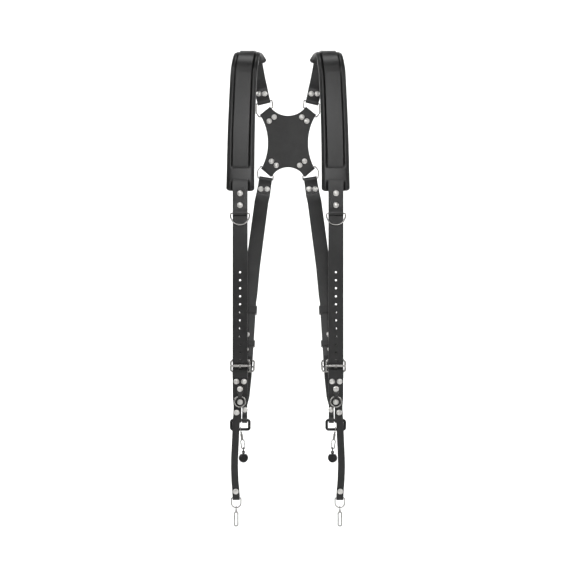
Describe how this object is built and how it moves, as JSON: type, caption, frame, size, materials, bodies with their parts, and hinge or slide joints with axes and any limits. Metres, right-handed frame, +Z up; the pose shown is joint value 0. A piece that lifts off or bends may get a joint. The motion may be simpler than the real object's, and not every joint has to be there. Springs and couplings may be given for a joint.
{
  "type": "dual shoulder carrying harness",
  "caption": "Leather shoulder harness with padded shoulders, back plate, adjustable buckled straps, rings, camera clips and tethers with snap hooks.",
  "frame": {"origin": "the shoulder saddle: midway between the two pads, level with their undersides at the top of the arches", "axes": "+X to the right seen from the wearer's front, +Y to the wearer's back, +Z up"},
  "size_m": [0.266, 0.1536, 1.0272],
  "materials": {
    "pad_leather": "smooth semi-gloss black leather over padding",
    "plate_leather": "black leather, slightly mottled",
    "strap_leather": "black bridle leather with burnished edges",
    "tether_leather": "matt dark leather",
    "keeper_leather": "black leather loop",
    "black_metal": "black painted wire, worn at its corners",
    "black_anodised": "black anodised",
    "rivet_nickel": "nickel, dulled at the rim",
    "nickel": "bright nickel plate"
  },
  "bodies": {
    "harness": {"back_plate": "plate_leather", "upper_plate_rings": "nickel", "lower_plate_rings": "nickel", "cap_rivets": "rivet_nickel", "shoulder_pad_left": "pad_leather", "shoulder_strap_left": "strap_leather", "chest_tab_left": "strap_leather", "front_buckle_frame_left": "nickel", "hip_tab_left": "strap_leather", "ring_loop_left": "strap_leather", "rear_strap_left": "strap_leather", "rear_billet_left": "strap_leather", "fixed_keeper_left": "keeper_leather", "rear_buckle_frame_left": "nickel", "shoulder_pad_right": "pad_leather", "shoulder_strap_right": "strap_leather", "chest_tab_right": "strap_leather", "front_buckle_frame_right": "nickel", "hip_tab_right": "strap_leather", "ring_loop_right": "strap_leather", "rear_strap_right": "strap_leather", "rear_billet_right": "strap_leather", "fixed_keeper_right": "keeper_leather", "rear_buckle_frame_right": "nickel"},
    "chest_ring_left": {"chest_ring_left": "nickel"},
    "o_ring_left": {"o_ring_left": "nickel"},
    "hip_ring_left": {"hip_ring_left": "black_metal"},
    "clip_shackle_left": {"clip_shackle_left": "nickel"},
    "clip_hook_left": {"clip_hook_left": "nickel"},
    "clip_gate_left": {"clip_gate_left": "nickel"},
    "clip_link_left": {"clip_link_left": "black_metal"},
    "camera_screw_left": {"camera_screw_left": "black_anodised"},
    "tether_ring_left": {"tether_ring_left": "nickel"},
    "snap_hook_left": {"snap_hook_left": "nickel"},
    "snap_gate_left": {"snap_gate_left": "nickel"},
    "sliding_keeper_left": {"sliding_keeper_left": "keeper_leather"},
    "front_roller_left": {"front_buckle_roller_left": "nickel"},
    "front_tongue_left": {"front_buckle_tongue_left": "nickel"},
    "rear_roller_left": {"rear_buckle_roller_left": "nickel"},
    "rear_tongue_left": {"rear_buckle_tongue_left": "nickel"},
    "tether_left": {"tether_left": "tether_leather", "tether_rivet_left": "rivet_nickel"},
    "chest_ring_right": {"chest_ring_right": "nickel"},
    "o_ring_right": {"o_ring_right": "nickel"},
    "hip_ring_right": {"hip_ring_right": "black_metal"},
    "clip_shackle_right": {"clip_shackle_right": "nickel"},
    "clip_hook_right": {"clip_hook_right": "nickel"},
    "clip_gate_right": {"clip_gate_right": "nickel"},
    "clip_link_right": {"clip_link_right": "black_metal"},
    "camera_screw_right": {"camera_screw_right": "black_anodised"},
    "tether_ring_right": {"tether_ring_right": "nickel"},
    "snap_hook_right": {"snap_hook_right": "nickel"},
    "snap_gate_right": {"snap_gate_right": "nickel"},
    "sliding_keeper_right": {"sliding_keeper_right": "keeper_leather"},
    "front_roller_right": {"front_buckle_roller_right": "nickel"},
    "front_tongue_right": {"front_buckle_tongue_right": "nickel"},
    "rear_roller_right": {"rear_buckle_roller_right": "nickel"},
    "rear_tongue_right": {"rear_buckle_tongue_right": "nickel"},
    "tether_right": {"tether_right": "tether_leather", "tether_rivet_right": "rivet_nickel"}
  },
  "joints": [
    {"name": "chest_ring_swing_left", "type": "hinge", "parent": "harness", "child": "chest_ring_left", "pos_m": [-0.102, -0.06565, -0.3495], "axis": [-1, 0, 0], "range_deg": [0, 110]},
    {"name": "front_roller_spin_left", "type": "hinge", "parent": "harness", "child": "front_roller_left", "pos_m": [-0.102, -0.0639, -0.6735], "axis": [1, 0, 0], "continuous": true},
    {"name": "front_tongue_tilt_left", "type": "hinge", "parent": "harness", "child": "front_tongue_left", "pos_m": [-0.102, -0.0574, -0.686], "axis": [1, 0, 0], "range_deg": [0, 6]},
    {"name": "o_ring_swing_left", "type": "hinge", "parent": "harness", "child": "o_ring_left", "pos_m": [-0.102, -0.06398, -0.738], "axis": [-1, 0, 0], "range_deg": [0, 90]},
    {"name": "hip_ring_swing_left", "type": "hinge", "parent": "harness", "child": "hip_ring_left", "pos_m": [-0.1018, -0.0574, -0.79], "axis": [1, 0, 0], "range_deg": [0, 60]},
    {"name": "clip_shackle_swing_left", "type": "hinge", "parent": "hip_ring_left", "child": "clip_shackle_left", "pos_m": [-0.1008, -0.0574, -0.8096], "axis": [1, 0, 0], "range_deg": [0, 60]},
    {"name": "clip_hook_swivel_left", "type": "hinge", "parent": "clip_shackle_left", "child": "clip_hook_left", "pos_m": [-0.1008, -0.0574, -0.8096], "axis": [0.1392, 0, -0.9903], "continuous": true},
    {"name": "clip_gate_open_left", "type": "hinge", "parent": "clip_hook_left", "child": "clip_gate_left", "pos_m": [-0.09308, -0.0574, -0.83869], "axis": [0, 1, 0], "range_deg": [0, 35]},
    {"name": "clip_link_swing_left", "type": "hinge", "parent": "clip_hook_left", "child": "clip_link_left", "pos_m": [-0.09501, -0.0574, -0.85079], "axis": [0.9903, 0, 0.1392], "range_deg": [0, 60]},
    {"name": "camera_screw_swing_left", "type": "hinge", "parent": "clip_link_left", "child": "camera_screw_left", "pos_m": [-0.09501, -0.0574, -0.8581], "axis": [0, 1, 0], "range_deg": [-25, 25]},
    {"name": "tether_swing_left", "type": "hinge", "parent": "harness", "child": "tether_left", "pos_m": [-0.109, -0.063, -0.7728], "axis": [0, 1, 0], "range_deg": [-22, 22]},
    {"name": "tether_ring_swing_left", "type": "hinge", "parent": "tether_left", "child": "tether_ring_left", "pos_m": [-0.1103, -0.0622, -0.9547], "axis": [1, 0, 0], "range_deg": [-50, 50]},
    {"name": "snap_hook_swing_left", "type": "hinge", "parent": "tether_ring_left", "child": "snap_hook_left", "pos_m": [-0.1103, -0.0622, -0.9751], "axis": [1, 0, 0], "range_deg": [-50, 50]},
    {"name": "snap_gate_open_left", "type": "hinge", "parent": "snap_hook_left", "child": "snap_gate_left", "pos_m": [-0.1067, -0.0622, -0.99235], "axis": [0, 1, 0], "range_deg": [0, 16]},
    {"name": "keeper_slide_left", "type": "slide", "parent": "harness", "child": "sliding_keeper_left", "axis": [0.05, 0.2644, 0.9631], "range_m": [-0.035, 0.004]},
    {"name": "rear_roller_spin_left", "type": "hinge", "parent": "harness", "child": "rear_roller_left", "pos_m": [-0.0937, -0.01574, -0.67903], "axis": [0.9987, -0.0132, -0.0482], "continuous": true},
    {"name": "rear_tongue_tilt_left", "type": "hinge", "parent": "harness", "child": "rear_tongue_left", "pos_m": [-0.09308, -0.0187, -0.66527], "axis": [0.9987, -0.0132, -0.0482], "range_deg": [0, 6]},
    {"name": "chest_ring_swing_right", "type": "hinge", "parent": "harness", "child": "chest_ring_right", "pos_m": [0.102, -0.06565, -0.3495], "axis": [-1, 0, 0], "range_deg": [0, 110]},
    {"name": "front_roller_spin_right", "type": "hinge", "parent": "harness", "child": "front_roller_right", "pos_m": [0.102, -0.0639, -0.6735], "axis": [1, 0, 0], "continuous": true},
    {"name": "front_tongue_tilt_right", "type": "hinge", "parent": "harness", "child": "front_tongue_right", "pos_m": [0.102, -0.0574, -0.686], "axis": [1, 0, 0], "range_deg": [0, 6]},
    {"name": "o_ring_swing_right", "type": "hinge", "parent": "harness", "child": "o_ring_right", "pos_m": [0.102, -0.06398, -0.738], "axis": [-1, 0, 0], "range_deg": [0, 90]},
    {"name": "hip_ring_swing_right", "type": "hinge", "parent": "harness", "child": "hip_ring_right", "pos_m": [0.1018, -0.0574, -0.79], "axis": [1, 0, 0], "range_deg": [0, 60]},
    {"name": "clip_shackle_swing_right", "type": "hinge", "parent": "hip_ring_right", "child": "clip_shackle_right", "pos_m": [0.1008, -0.0574, -0.8096], "axis": [1, 0, 0], "range_deg": [0, 60]},
    {"name": "clip_hook_swivel_right", "type": "hinge", "parent": "clip_shackle_right", "child": "clip_hook_right", "pos_m": [0.1008, -0.0574, -0.8096], "axis": [-0.1392, 0, -0.9903], "continuous": true},
    {"name": "clip_gate_open_right", "type": "hinge", "parent": "clip_hook_right", "child": "clip_gate_right", "pos_m": [0.09308, -0.0574, -0.83869], "axis": [0, -1, 0], "range_deg": [0, 35]},
    {"name": "clip_link_swing_right", "type": "hinge", "parent": "clip_hook_right", "child": "clip_link_right", "pos_m": [0.09501, -0.0574, -0.85079], "axis": [0.9903, 0, -0.1392], "range_deg": [0, 60]},
    {"name": "camera_screw_swing_right", "type": "hinge", "parent": "clip_link_right", "child": "camera_screw_right", "pos_m": [0.09501, -0.0574, -0.8581], "axis": [0, 1, 0], "range_deg": [-25, 25]},
    {"name": "tether_swing_right", "type": "hinge", "parent": "harness", "child": "tether_right", "pos_m": [0.109, -0.063, -0.7728], "axis": [0, 1, 0], "range_deg": [-22, 22]},
    {"name": "tether_ring_swing_right", "type": "hinge", "parent": "tether_right", "child": "tether_ring_right", "pos_m": [0.1103, -0.0622, -0.9547], "axis": [1, 0, 0], "range_deg": [-50, 50]},
    {"name": "snap_hook_swing_right", "type": "hinge", "parent": "tether_ring_right", "child": "snap_hook_right", "pos_m": [0.1103, -0.0622, -0.9751], "axis": [1, 0, 0], "range_deg": [-50, 50]},
    {"name": "snap_gate_open_right", "type": "hinge", "parent": "snap_hook_right", "child": "snap_gate_right", "pos_m": [0.1067, -0.0622, -0.99235], "axis": [0, -1, 0], "range_deg": [0, 16]},
    {"name": "keeper_slide_right", "type": "slide", "parent": "harness", "child": "sliding_keeper_right", "axis": [-0.05, 0.2644, 0.9631], "range_m": [-0.035, 0.004]},
    {"name": "rear_roller_spin_right", "type": "hinge", "parent": "harness", "child": "rear_roller_right", "pos_m": [0.0937, -0.01574, -0.67903], "axis": [0.9987, 0.0132, 0.0482], "continuous": true},
    {"name": "rear_tongue_tilt_right", "type": "hinge", "parent": "harness", "child": "rear_tongue_right", "pos_m": [0.09308, -0.0187, -0.66527], "axis": [0.9987, 0.0132, 0.0482], "range_deg": [0, 6]}
  ]
}
